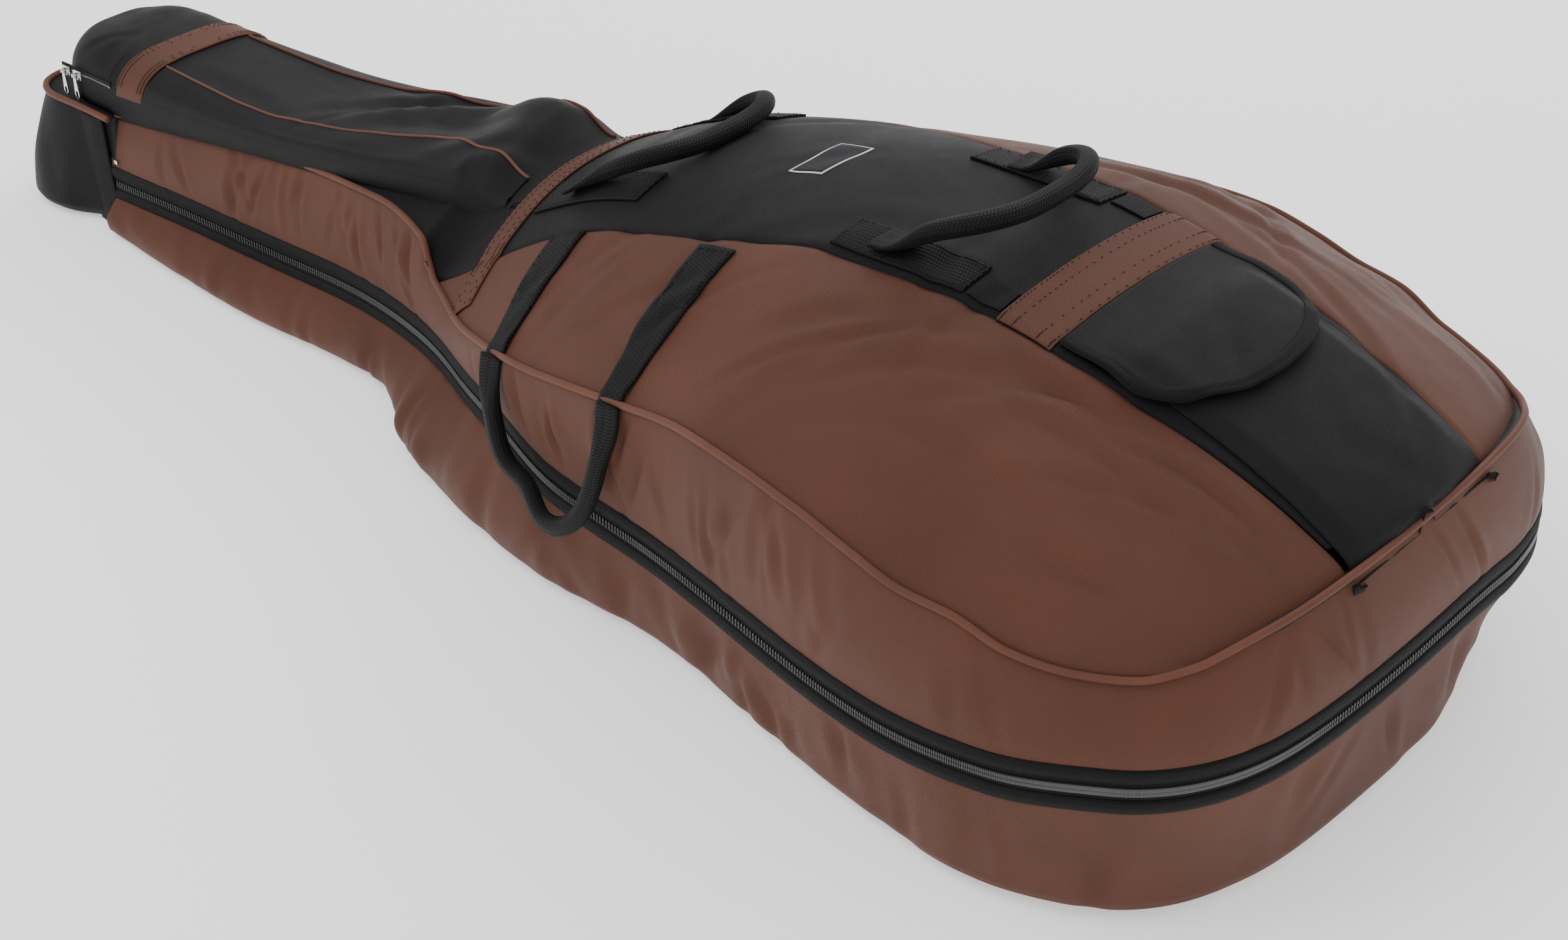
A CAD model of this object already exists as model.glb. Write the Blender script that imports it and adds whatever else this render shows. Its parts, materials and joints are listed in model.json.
import json
import math

import bpy
import numpy as np
from mathutils import Matrix, Vector


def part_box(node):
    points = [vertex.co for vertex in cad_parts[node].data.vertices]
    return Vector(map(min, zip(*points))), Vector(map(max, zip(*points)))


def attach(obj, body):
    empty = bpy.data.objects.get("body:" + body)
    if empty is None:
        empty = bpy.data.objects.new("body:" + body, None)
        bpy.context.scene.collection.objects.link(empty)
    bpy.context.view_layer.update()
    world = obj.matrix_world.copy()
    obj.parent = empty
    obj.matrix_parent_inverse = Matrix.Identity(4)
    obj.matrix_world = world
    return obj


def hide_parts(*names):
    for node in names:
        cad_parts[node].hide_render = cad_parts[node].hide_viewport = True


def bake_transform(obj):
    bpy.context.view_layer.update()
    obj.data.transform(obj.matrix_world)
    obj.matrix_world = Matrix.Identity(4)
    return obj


# Padded double-bass bag lying on its back. Metres, in the CAD frame: +X to the base end, +Z up.
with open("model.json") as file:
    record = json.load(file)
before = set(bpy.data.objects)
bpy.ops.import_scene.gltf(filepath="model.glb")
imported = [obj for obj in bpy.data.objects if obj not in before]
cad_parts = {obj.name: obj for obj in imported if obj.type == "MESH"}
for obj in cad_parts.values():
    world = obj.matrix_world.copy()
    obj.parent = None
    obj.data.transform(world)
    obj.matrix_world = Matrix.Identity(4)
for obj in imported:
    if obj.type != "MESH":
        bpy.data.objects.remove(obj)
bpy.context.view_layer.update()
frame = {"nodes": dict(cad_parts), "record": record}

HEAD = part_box("head_shell")[0].x
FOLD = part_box("head_shell")[1].x
LENGTH = round(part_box("back_panel")[1].x - HEAD, 4)
PIVOTS = {joint["name"]: joint.get("pos_m") for joint in frame["record"]["behaviour"]["joints"]}
PADDED_WALL = 0.012     # side walls with their foam
PADDED_FLAT = 0.011     # back, and top and bottom of the head
FRONT_SKIN = 0.004      # panels on the front, over the lid's foam
WEBBING = 0.0026
STRAP = 0.0022
TURNED_EDGE = 0.001     # a strap's folded edge
RNG = np.random.default_rng(7)


def at(distance):
    """x of a place, given in metres from the head end."""
    return HEAD + distance


def span(node):
    """Where a node starts and ends, in metres from the head end."""
    low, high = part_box(node)
    return low.x - HEAD, high.x - HEAD


# ---------------------------------------------------------------- camera, light, floor

CAMERA_PLACE = (1.7176, -1.6302, 1.4801)
CAMERA_TURN = (132.7, -33.4, -1.2)      # yaw, pitch and roll in degrees
CAMERA_LENS = 58.5
FLOOR_HALF = 14.0


def make_camera():
    """Camera above the base end and the carrying side, looking along the bag to its head."""
    data = bpy.data.cameras.new("camera")
    data.sensor_width = 36.0
    data.lens = CAMERA_LENS
    cam = bpy.data.objects.new("camera", data)
    bpy.context.scene.collection.objects.link(cam)
    yaw, pitch, roll = (math.radians(angle) for angle in CAMERA_TURN)
    look = Vector((math.cos(pitch) * math.cos(yaw), math.cos(pitch) * math.sin(yaw), math.sin(pitch)))
    right = look.cross(Vector((0, 0, 1))).normalized()
    up = right.cross(look)
    right, up = right * math.cos(roll) + up * math.sin(roll), up * math.cos(roll) - right * math.sin(roll)
    turn = Matrix((right, up, -look)).transposed()
    cam.matrix_world = Matrix.Translation(CAMERA_PLACE) @ turn.to_4x4()
    data.clip_start, data.clip_end = 0.05, 60
    bpy.context.scene.camera = cam


def area_light(name, place, target, size, power, colour=(1, 1, 1)):
    data = bpy.data.lights.new(name, "AREA")
    data.shape = "RECTANGLE"
    data.size, data.size_y = size
    data.energy = power
    data.color = colour
    lamp = bpy.data.objects.new(name, data)
    bpy.context.scene.collection.objects.link(lamp)
    lamp.location = place
    lamp.rotation_mode = "QUATERNION"
    lamp.rotation_quaternion = (Vector(target) - Vector(place)).to_track_quat("-Z", "Y")


def make_studio():
    """Three large soft lights, a white surround and a plain pale floor."""
    area_light("key", (-1.4, -1.6, 3.4), (0.1, 0, 0.1), (2.6, 2.6), 70)
    area_light("fill", (3.2, -2.4, 2.2), (0.2, 0, 0.2), (2.5, 2.0), 28)
    area_light("rim", (-0.6, 3.2, 2.4), (0.2, 0, 0.2), (3.0, 1.6), 60)
    world = bpy.data.worlds.new("studio")
    world.use_nodes = True
    world.node_tree.nodes["Background"].inputs[0].default_value = (1, 1, 1, 1)
    world.node_tree.nodes["Background"].inputs[1].default_value = 0.9
    bpy.context.scene.world = world
    mesh = bpy.data.meshes.new("floor")
    corners = [(x * FLOOR_HALF, y * FLOOR_HALF, 0) for x, y in ((-1, -1), (1, -1), (1, 1), (-1, 1))]
    mesh.from_pydata(corners, [], [(0, 1, 2, 3)])
    floor = bpy.data.objects.new("floor", mesh)
    bpy.context.scene.collection.objects.link(floor)
    mat = bpy.data.materials.new("floor")
    mat.use_nodes = True
    shader = mat.node_tree.nodes["Principled BSDF"]
    shader.inputs["Base Color"].default_value = (0.93, 0.93, 0.93, 1)
    shader.inputs["Roughness"].default_value = 0.9
    shader.inputs["Emission Color"].default_value = (1, 1, 1, 1)
    shader.inputs["Emission Strength"].default_value = 0.5
    mesh.materials.append(mat)
    floor.location.z = -0.0005


make_camera()
make_studio()


# ---------------------------------------------------------------- materials

class Nodes:
    """Short helper for building one material's nodes."""

    def __init__(self, name):
        self.mat = bpy.data.materials.new(name)
        self.mat.use_nodes = True
        self.tree = self.mat.node_tree
        self.shader = self.tree.nodes["Principled BSDF"]

    def add(self, kind, **values):
        node = self.tree.nodes.new(kind)
        for key, value in values.items():
            setattr(node, key, value)
        return node

    def link(self, source, target):
        self.tree.links.new(source, target)

    def math(self, operation, a, b=None, clamp=False):
        node = self.add("ShaderNodeMath", operation=operation, use_clamp=clamp)
        for socket, value in zip(node.inputs, (a, b)):
            if value is None:
                continue
            if isinstance(value, (int, float)):
                socket.default_value = value
            else:
                self.link(value, socket)
        return node.outputs[0]

    def uv(self):
        """Two sockets: metres along the cloth and metres across it."""
        coords = self.add("ShaderNodeTexCoord")
        split = self.add("ShaderNodeSeparateXYZ")
        self.link(coords.outputs["UV"], split.inputs[0])
        return split.outputs[0], split.outputs[1]

    def noise(self, scale, detail=3.0, rough=0.55, coords="Object"):
        where = self.add("ShaderNodeTexCoord")
        noise = self.add("ShaderNodeTexNoise")
        noise.inputs["Scale"].default_value = scale
        noise.inputs["Detail"].default_value = detail
        noise.inputs["Roughness"].default_value = rough
        self.link(where.outputs[coords], noise.inputs["Vector"])
        return noise.outputs["Fac"]

    def ramp(self, factor, stops):
        node = self.add("ShaderNodeValToRGB")
        ramp = node.color_ramp
        while len(ramp.elements) < len(stops):
            ramp.elements.new(0.5)
        for element, (place, colour) in zip(ramp.elements, stops):
            element.position = place
            element.color = (*colour, 1)
        self.link(factor, node.inputs[0])
        return node.outputs[0]

    def mix(self, factor, a, b):
        node = self.add("ShaderNodeMix", data_type="RGBA")
        for socket, value in ((node.inputs[0], factor), (node.inputs[6], a), (node.inputs[7], b)):
            if isinstance(value, (int, float)):
                socket.default_value = value
            elif isinstance(value, tuple):
                socket.default_value = (*value, 1)
            else:
                self.link(value, socket)
        return node.outputs[2]

    def bump(self, height, strength, distance):
        node = self.add("ShaderNodeBump")
        node.inputs["Strength"].default_value = strength
        node.inputs["Distance"].default_value = distance
        self.link(height, node.inputs["Height"])
        self.link(node.outputs[0], self.shader.inputs["Normal"])

    def colour(self, source):
        self.link(source, self.shader.inputs["Base Color"])

    def set(self, **values):
        for key, value in values.items():
            self.shader.inputs[key.replace("_", " ")].default_value = value

    def wave(self, value, pitch):
        """Sine of the value at a pitch in metres, from 0 to 1."""
        turns = self.math("MULTIPLY", value, 2 * math.pi / pitch)
        sine = self.math("SINE", turns)
        half = self.math("MULTIPLY", sine, 0.5)
        return self.math("ADD", half, 0.5)


def shade(colour, factor):
    return tuple(min(1.0, c * factor) for c in colour)


def twill(name, colour, pitch=0.0014, rough=0.5, sheen=0.05, relief=0.00022):
    """Polyester twill: diagonal ribs crossed by finer threads, a soft uneven tone and a satin sheen."""
    n = Nodes(name)
    u, v = n.uv()
    rib = n.wave(n.math("ADD", u, v), pitch)
    thread = n.wave(n.math("SUBTRACT", u, v), pitch * 0.55)
    weave = n.math("ADD", n.math("MULTIPLY", rib, 0.7), n.math("MULTIPLY", thread, 0.3))
    tone = n.ramp(n.noise(5.0, 4.0), [(0.3, shade(colour, 0.86)), (0.7, shade(colour, 1.14))])
    fine = n.ramp(weave, [(0.0, (0.62, 0.62, 0.62)), (1.0, (1.25, 1.25, 1.25))])
    mixed = n.add("ShaderNodeMix", data_type="RGBA", blend_type="MULTIPLY")
    mixed.inputs[0].default_value = 1.0
    n.link(tone, mixed.inputs[6])
    n.link(fine, mixed.inputs[7])
    n.colour(mixed.outputs[2])
    rough_map = n.math("ADD", n.math("MULTIPLY", n.noise(40.0, 2.0), 0.16), rough - 0.08)
    n.link(rough_map, n.shader.inputs["Roughness"])
    wrinkle = n.math("MULTIPLY", n.noise(26.0, 3.0), 1.2)
    n.bump(n.math("ADD", weave, wrinkle), 0.55, relief * 3)
    n.set(Sheen_Weight=sheen, Sheen_Roughness=0.35, Specular_IOR_Level=0.12)
    n.shader.inputs["Sheen Tint"].default_value = (*[min(1, 0.35 + 2.5 * c) for c in colour], 1)
    return n.mat


def webbing_cloth(name, colour, pitch=0.0032):
    """Basket-woven webbing: short blocks of thread that alternate along and across."""
    n = Nodes(name)
    u, v = n.uv()
    along = n.wave(u, pitch)
    across = n.wave(v, pitch * 1.3)
    half_step = n.wave(n.math("ADD", u, pitch / 2), pitch)
    row = n.math("GREATER_THAN", n.wave(v, pitch * 2.6), 0.5)
    blocks = n.math("ADD", n.math("MULTIPLY", along, row),
                    n.math("MULTIPLY", half_step, n.math("SUBTRACT", 1.0, row)))
    height = n.math("MULTIPLY", blocks, n.math("ADD", n.math("MULTIPLY", across, 0.6), 0.4))
    n.colour(n.ramp(height, [(0.0, shade(colour, 0.35)), (1.0, shade(colour, 1.7))]))
    n.bump(height, 0.9, 0.0011)
    n.set(Roughness=0.62, Sheen_Weight=0.02, Specular_IOR_Level=0.12)
    return n.mat


def ribbed_cloth(name, colour, pitch=0.0024):
    """Webbing with one straight rib after another across its width."""
    n = Nodes(name)
    u, v = n.uv()
    rib = n.wave(u, pitch)
    thread = n.wave(v, 0.0011)
    height = n.math("ADD", n.math("MULTIPLY", rib, 0.85), n.math("MULTIPLY", thread, 0.15))
    n.colour(n.ramp(height, [(0.0, shade(colour, 0.25)), (1.0, shade(colour, 1.7))]))
    n.bump(height, 1.0, 0.0012)
    n.set(Roughness=0.6, Sheen_Weight=0.02, Specular_IOR_Level=0.12)
    return n.mat


def herringbone(name, colour, pitch=0.0021, band=0.0055):
    """Woven tape whose diagonal ribs turn back at each band across its width."""
    n = Nodes(name)
    u, v = n.uv()
    zigzag = n.math("PINGPONG", v, band)
    rib = n.wave(n.math("ADD", u, zigzag), pitch)
    n.colour(n.ramp(rib, [(0.0, shade(colour, 0.4)), (1.0, shade(colour, 1.8))]))
    n.bump(rib, 0.9, 0.0009)
    n.set(Roughness=0.68, Sheen_Weight=0.02, Specular_IOR_Level=0.12)
    return n.mat


def plain_cloth(name, colour, rough=0.7, scale=900.0, strength=0.4):
    """Close cloth whose threads are too fine to see: a fine grain over a soft tone."""
    n = Nodes(name)
    n.colour(n.ramp(n.noise(9.0, 3.0), [(0.3, shade(colour, 0.85)), (0.7, shade(colour, 1.15))]))
    n.bump(n.noise(scale, 2.0), strength, 0.0006)
    n.set(Roughness=rough, Sheen_Weight=0.02, Specular_IOR_Level=0.12)
    return n.mat


def nickel(name):
    """Plated zinc with fine wear."""
    n = Nodes(name)
    n.colour(n.ramp(n.noise(300.0, 3.0), [(0.3, (0.55, 0.54, 0.52)), (0.7, (0.75, 0.74, 0.72))]))
    n.link(n.math("ADD", n.math("MULTIPLY", n.noise(500.0, 2.0), 0.2), 0.14), n.shader.inputs["Roughness"])
    n.set(Metallic=1.0)
    return n.mat


def nylon(name, colour):
    """Smooth nylon of a zip's coil."""
    n = Nodes(name)
    n.colour(n.ramp(n.noise(700.0, 2.0), [(0.3, shade(colour, 0.8)), (0.7, shade(colour, 1.2))]))
    n.set(Roughness=0.32, Specular_IOR_Level=0.6)
    return n.mat


BROWN = (0.105, 0.041, 0.0265)
BLACK = (0.0075, 0.0072, 0.0085)
brown_twill = twill("brown twill", BROWN)
black_twill = twill("black twill", BLACK, rough=0.52, sheen=0.01)
black_pocket = twill("black pocket twill", shade(BLACK, 1.2), rough=0.5, sheen=0.01)
webbing = webbing_cloth("black webbing", (0.0065, 0.0065, 0.007))
rib_webbing = ribbed_cloth("ribbed webbing", (0.007, 0.007, 0.0075))
tape_cloth = herringbone("herringbone binding", (0.006, 0.006, 0.0065))
zip_cloth = ribbed_cloth("zip tape", (0.006, 0.006, 0.0065), pitch=0.0013)
piping_cloth = plain_cloth("brown piping", (0.115, 0.045, 0.029), rough=0.55)
lining_cloth = plain_cloth("black lining", (0.02, 0.02, 0.022), rough=0.6)
thread_dark = plain_cloth("dark thread", (0.012, 0.010, 0.010), rough=0.6)
coil_nylon = nylon("coil nylon", (0.022, 0.022, 0.024))
metal = nickel("nickel plate")
label_cloth = plain_cloth("label field", (0.012, 0.012, 0.016), rough=0.55)
label_edge = plain_cloth("label border", (0.62, 0.62, 0.60), rough=0.6)
hook_cloth = plain_cloth("hook and loop", (0.01, 0.01, 0.0105), rough=0.85, scale=1500.0, strength=1.0)


# ---------------------------------------------------------------- meshes

def smooth_path(knots, count, start=None, end=None):
    """A cubic with continuous curvature through the knots, spaced evenly by length.
    Knots are set at chord-length parameters, and the slopes come from one tridiagonal system."""
    p = np.asarray(knots, float)
    n = len(p)
    h = np.linalg.norm(np.diff(p, axis=0), axis=1)
    t = np.r_[0.0, np.cumsum(h)]
    d = np.diff(p, axis=0) / h[:, None]
    a = np.zeros((n, n))
    b = np.zeros_like(p)
    inner = np.arange(1, n - 1)
    a[inner, inner - 1] = h[1:]
    a[inner, inner] = 2 * (h[:-1] + h[1:])
    a[inner, inner + 1] = h[:-1]
    b[1:-1] = 3 * (h[1:, None] * d[:-1] + h[:-1, None] * d[1:])
    a[0, 0], a[0, 1], b[0] = (1, 0, start) if start is not None else (2, 1, 3 * d[0])
    a[-1, -1], a[-1, -2], b[-1] = (1, 0, end) if end is not None else (2, 1, 3 * d[-1])
    m = np.linalg.solve(a, b)
    u = np.linspace(0, t[-1], 12 * count)
    k = np.clip(np.searchsorted(t, u, side="right") - 1, 0, n - 2)
    s = ((u - t[k]) / h[k])[:, None]
    hk = h[k][:, None]
    fine = ((2 * s**3 - 3 * s**2 + 1) * p[k] + (s**3 - 2 * s**2 + s) * hk * m[k]
            + (3 * s**2 - 2 * s**3) * p[k + 1] + (s**3 - s**2) * hk * m[k + 1])
    return respace(fine, count)


def respace(line, count):
    """The same polyline with count points evenly spaced by length."""
    length = np.r_[0.0, np.cumsum(np.linalg.norm(np.diff(line, axis=0), axis=1))]
    want = np.linspace(0, length[-1], count)
    return np.stack([np.interp(want, length, line[:, i]) for i in range(line.shape[1])], 1)


def unit(vectors):
    """The same vectors at length one."""
    return vectors / np.maximum(np.linalg.norm(vectors, axis=-1, keepdims=True), 1e-12)


def ease(x, low, high):
    """0 below low, 1 above high, smooth between."""
    t = np.clip((x - low) / (high - low), 0, 1)
    return t * t * (3 - 2 * t)


def grid_uv(points):
    """Metres along the rows and across the columns of a grid of points."""
    along = np.linalg.norm(np.diff(points, axis=0), axis=2).mean(1)
    across = np.linalg.norm(np.diff(points, axis=1), axis=2)
    u = np.r_[0.0, np.cumsum(along)][:, None] * np.ones(points.shape[1])
    v = np.concatenate([np.zeros((points.shape[0], 1)), np.cumsum(across, 1)], 1)
    return np.stack([u, v], 2)


def add_object(name, verts, faces, uv=None, smooth=True):
    """A mesh object. The cloth's own map is in metres along and across it."""
    mesh = bpy.data.meshes.new(name)
    mesh.from_pydata(verts, [], faces)
    if uv is not None:
        layer = mesh.uv_layers.new(name="cloth")
        index = np.zeros(len(mesh.loops), np.int32)
        mesh.loops.foreach_get("vertex_index", index)
        layer.data.foreach_set("uv", np.asarray(uv, np.float32)[index].ravel())
    mesh.polygons.foreach_set("use_smooth", np.full(len(mesh.polygons), smooth))
    obj = bpy.data.objects.new(name, mesh)
    bpy.context.scene.collection.objects.link(obj)
    return obj


def grid_faces(rows, cols, close_rows=False, close_cols=False, flip=False):
    """Four-sided faces between the neighbouring points of a grid."""
    i = np.arange(rows if close_rows else rows - 1)[:, None]
    j = np.arange(cols if close_cols else cols - 1)[None, :]
    i2, j2 = (i + 1) % rows, (j + 1) % cols
    quads = np.stack([i * cols + j, i2 * cols + j, i2 * cols + j2, i * cols + j2], 2).reshape(-1, 4)
    return (quads[:, ::-1] if flip else quads).tolist()


def surface(name, points, mats, close_rows=False, close_cols=False, flip=False, uv=None):
    """A piece from a grid of points (rows, columns, 3)."""
    rows, cols = points.shape[:2]
    uv = grid_uv(points) if uv is None else uv
    faces = grid_faces(rows, cols, close_rows, close_cols, flip)
    obj = add_object(name, points.reshape(-1, 3), faces, uv.reshape(-1, 2))
    for mat in mats if isinstance(mats, (list, tuple)) else [mats]:
        obj.data.materials.append(mat)
    return obj


def thicken(obj, thickness, offset=-1.0, inner=0, rim=0, bevel=0.0):
    """Gives a sheet its wall. Inner and rim pick the second material for the back and the edge."""
    wall = obj.modifiers.new("wall", "SOLIDIFY")
    wall.thickness = thickness
    wall.offset = offset
    wall.use_even_offset = False
    wall.material_offset = inner
    wall.material_offset_rim = rim
    if bevel:
        edge = obj.modifiers.new("edge", "BEVEL")
        edge.width = bevel
        edge.segments = 2
        edge.limit_method = "ANGLE"
        edge.angle_limit = math.radians(50)
    return obj


def frames_along(path, up=(0, 0, 1)):
    """Tangent, side and up vectors along a path, the up vector kept near the given one."""
    tangent = unit(np.gradient(path, axis=0))
    up = np.broadcast_to(np.asarray(up, float), path.shape)
    side = unit(np.cross(tangent, up))
    return tangent, side, np.cross(side, tangent)


def tube(name, path, radius, mat, sides=10, up=(0, 0, 1), profile=None):
    """A round section carried along a path, with closed ends. The profile gives (side, up) offsets."""
    tangent, side, top = frames_along(path, up)
    angle = np.linspace(0, 2 * math.pi, sides, endpoint=False)
    radius = np.broadcast_to(np.asarray(radius, float), (len(path),))
    if profile is None:
        profile = np.stack([np.cos(angle), np.sin(angle)], 1)[None] * radius[:, None, None]
    ring = path[:, None] + side[:, None] * profile[..., :1] + top[:, None] * profile[..., 1:]
    rows, cols = ring.shape[:2]
    length = np.r_[0.0, np.cumsum(np.linalg.norm(np.diff(path, axis=0), axis=1))]
    around = np.linspace(0, 1, cols) * 2 * math.pi * float(radius.mean())
    uv = np.stack(np.broadcast_arrays(length[:, None], around[None, :]), 2)
    verts = np.concatenate([ring.reshape(-1, 3), path[:1], path[-1:]])
    faces = grid_faces(rows, cols, close_cols=True)
    first, last = rows * cols, rows * cols + 1
    j = np.arange(cols)
    faces += np.stack([j, (j + 1) % cols, np.full(cols, first)], 1).tolist()
    base = (rows - 1) * cols
    faces += np.stack([base + (j + 1) % cols, base + j, np.full(cols, last)], 1).tolist()
    uv = np.concatenate([uv.reshape(-1, 2), [[0, 0]], [[length[-1], 0]]])
    obj = add_object(name, verts, faces, uv)
    obj.data.materials.append(mat)
    return obj


def put(obj, body, slot, *replaced):
    """Says which body a piece rides on, its material slot and the nodes it stands for."""
    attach(obj, body)
    if replaced:
        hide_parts(*replaced)
    return obj


def stitches(name, lines, normals, mat, pitch=0.0045, length=0.0032, radius=0.00042):
    """Rows of short thread stitches. Each is a six-sided bar with tapered ends that lies on the cloth."""
    starts, ways, ups = [], [], []
    for line, normal in zip(lines, normals):
        total = np.linalg.norm(np.diff(line, axis=0), axis=1).sum()
        count = max(2, int(total / pitch))
        fine = respace(np.hstack([line, normal]), count)
        starts.append(fine[:, :3])
        ways.append(unit(np.gradient(fine[:, :3], axis=0)))
        ups.append(unit(fine[:, 3:]))
    middle, way, top = (np.concatenate(x) for x in (starts, ways, ups))
    side = unit(np.cross(way, top))
    angle = np.linspace(0, 2 * math.pi, 5, endpoint=False)
    ring = np.cos(angle)[None, None, :, None] * side[:, None, None] + \
        np.sin(angle)[None, None, :, None] * top[:, None, None] * 0.8
    place = np.array([-0.5, -0.3, 0.3, 0.5]) * length
    size = np.array([0.35, 1.0, 1.0, 0.35]) * radius
    verts = middle[:, None, None] + way[:, None, None] * place[None, :, None, None] \
        + ring * size[None, :, None, None]
    one = np.array(grid_faces(4, 5, close_cols=True))
    caps = np.array([[4, 3, 2, 1, 0], [15, 16, 17, 18, 19]])
    shift = np.arange(len(middle))[:, None, None] * 20
    faces = (one[None] + shift).reshape(-1, 4).tolist() + (caps[None] + shift).reshape(-1, 5).tolist()
    obj = add_object(name, verts.reshape(-1, 3), faces)
    obj.data.materials.append(mat)
    return obj


# ---------------------------------------------------------------- form of the bag

def curve1(knots):
    """A smooth one-dimensional curve through (place, value) knots. Slopes are harmonic means of the
    neighbouring chords, so the curve never swings past a knot."""
    x, y = np.array(knots, float).T
    h = np.diff(x)
    d = np.diff(y) / h
    rising = d[:-1] * d[1:] > 0
    total = np.where(rising, d[:-1] + d[1:], 1.0)
    m = np.concatenate([d[:1], np.where(rising, 2 * d[:-1] * d[1:] / total, 0.0), d[-1:]])

    def value(v):
        v = np.clip(v, x[0], x[-1])
        k = np.clip(np.searchsorted(x, v, side="right") - 1, 0, len(h) - 1)
        t = (v - x[k]) / h[k]
        return ((2 * t**3 - 3 * t**2 + 1) * y[k] + (t**3 - 2 * t**2 + t) * h[k] * m[k]
                + (3 * t**2 - 2 * t**3) * y[k + 1] + (t**3 - t**2) * h[k] * m[k + 1])
    return value


# Places are metres from the head end on the carrying side, and twice the length less that on the far side.
HALF_COUNT = 701
HALF_PLAN = [(.158, -.112), (.38, -.1115), (.54, -.112), (.67, -.124), (.776, -.150), (.86, -.184),
             (.94, -.221), (1.013, -.249), (1.088, -.272), (1.258, -.297), (1.40, -.327), (1.545, -.356),
             (1.687, -.362),
             (1.821, -.320), (1.872, -.252), (1.896, -.131), (1.90, 0)]
zip_height = curve1([(0.158, .067), (.311, .074), (.467, .077), (.627, .087), (.742, .096), (.884, .115),
                     (1.006, .129), (1.129, .119), (1.27, .121), (1.44, .126), (1.587, .129), (1.71, .140),
                     (1.81, .155), (1.9, .155), (1.907, .143), (1.93, .134), (2.12, .122), (2.35, .112),
                     (2.7, .104), (2.95, .102), (3.70, .102)])
seam_height = curve1([(.158, .152), (.233, .162), (.433, .191), (.53, .203), (.633, .214), (.726, .224),
                      (.790, .222), (.805, .200), (.822, .187), (.87, .190), (.934, .205), (1.057, .237),
                      (1.137, .255), (1.248, .277), (1.355, .299), (1.434, .302), (1.497, .298), (1.556, .285),
                      (1.608, .271), (1.657, .266), (1.714, .247), (1.773, .241), (1.823, .240), (1.862, .250),
                      (1.888, .270), (1.9, .279)])
seam_inset = curve1([(.158, .017), (.377, .022), (.609, .014), (.776, .010), (.86, .004), (.958, -.006),
                     (1.1, -.010), (1.29, -.010), (1.45, -.004), (1.61, .012), (1.72, .026), (1.82, .034),
                     (1.87, .030), (1.9, .018)])
crest_height = curve1([(.105, .170), (.38, .184), (.56, .212), (.70, .236), (.816, .268), (.913, .306),
                       (1.048, .363), (1.178, .392), (1.33, .408), (1.47, .409), (1.54, .402), (1.609, .388),
                       (1.709, .364), (1.80, .330), (1.87, .296), (1.9, .281)])

near_side = smooth_path([(at(s), y) for s, y in HALF_PLAN], HALF_COUNT, start=(1, 0), end=(0, 1))
far_side = near_side[-2::-1] * np.array([1, -1])
LOOP = respace(np.concatenate([near_side, far_side]), 2 * HALF_COUNT - 1)
WAY = unit(np.gradient(LOOP, axis=0))
OUT = np.stack([WAY[:, 1], -WAY[:, 0]], 1)
PLACE = np.where(LOOP[:, 1] < 0, LOOP[:, 0] - HEAD, 2 * LENGTH - LOOP[:, 0] + HEAD)
SIDE = np.where(PLACE > LENGTH, 2 * LENGTH - PLACE, PLACE)
RUN = np.r_[0.0, np.cumsum(np.linalg.norm(np.diff(LOOP, axis=0), axis=1))]
SEAM = LOOP - OUT * seam_inset(SIDE)[:, None]
SEAM_Z = seam_height(SIDE)
NEAR_SEAM = SEAM[:HALF_COUNT]
seam_half = curve1(np.stack([NEAR_SEAM[::10, 0] - HEAD, -NEAR_SEAM[::10, 1]], 1)[
    np.r_[True, np.diff(NEAR_SEAM[::10, 0]) > 1e-4]])


def folds(count, area, long, wide, deep, lean=None):
    """Random creases: (x, y, direction, length, width, depth) rows inside a rectangle of the plan."""
    (x0, x1), (y0, y1) = area
    turn = RNG.uniform(0, math.pi, count) if lean is None else RNG.normal(*lean, count)
    return np.stack([RNG.uniform(x0, x1, count), RNG.uniform(y0, y1, count), turn,
                     RNG.uniform(*long, count), RNG.uniform(*wide, count), RNG.uniform(*deep, count)], 1)


def crease(x, y, rows):
    """Sum of soft creases. Each is a narrow dip with a low ridge on either side, which fades at its ends."""
    total = np.zeros(np.broadcast(x, y).shape)
    for cx, cy, turn, long, wide, deep in rows:
        along = (x - cx) * math.cos(turn) + (y - cy) * math.sin(turn)
        across = (y - cy) * math.cos(turn) - (x - cx) * math.sin(turn)
        across = across + 0.12 * along**2 / long
        total += deep * np.exp(-(along / long) ** 2) * (
            0.55 * np.exp(-(across / (2.2 * wide)) ** 2) - np.exp(-(across / wide) ** 2))
    return total


TOP_FOLDS = np.concatenate([
    folds(12, ((.85, 1.25), (-.30, -.18)), (.05, .12), (.007, .015), (.003, .007), (1.1, .5)),
    folds(18, ((1.2, 1.75), (-.34, -.14)), (.05, .13), (.007, .017), (.0025, .006), (.7, .6)),
    folds(14, ((1.55, 1.85), (-.32, -.12)), (.05, .12), (.006, .014), (.004, .008), (.2, .35)),
    folds(14, ((1.45, 1.88), (.12, .32)), (.07, .15), (.009, .018), (.004, .009), (-.35, .35)),
    folds(16, ((.9, 1.5), (-.15, .25)), (.05, .12), (.008, .018), (.0012, .003)),
    folds(8, ((1.6, 1.88), (-.1, .1)), (.05, .1), (.010, .02), (.0008, .002)),
])
TOP_FOLDS[:, 0] += HEAD


def panel_edge(s):
    """Half width of the black centre panel."""
    return np.interp(s, [.15, .79, .801, .93, 1.2, 1.33, 1.587, 1.91],
                     [.5, .5, .158, .165, .154, .131, .127, .105])


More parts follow.
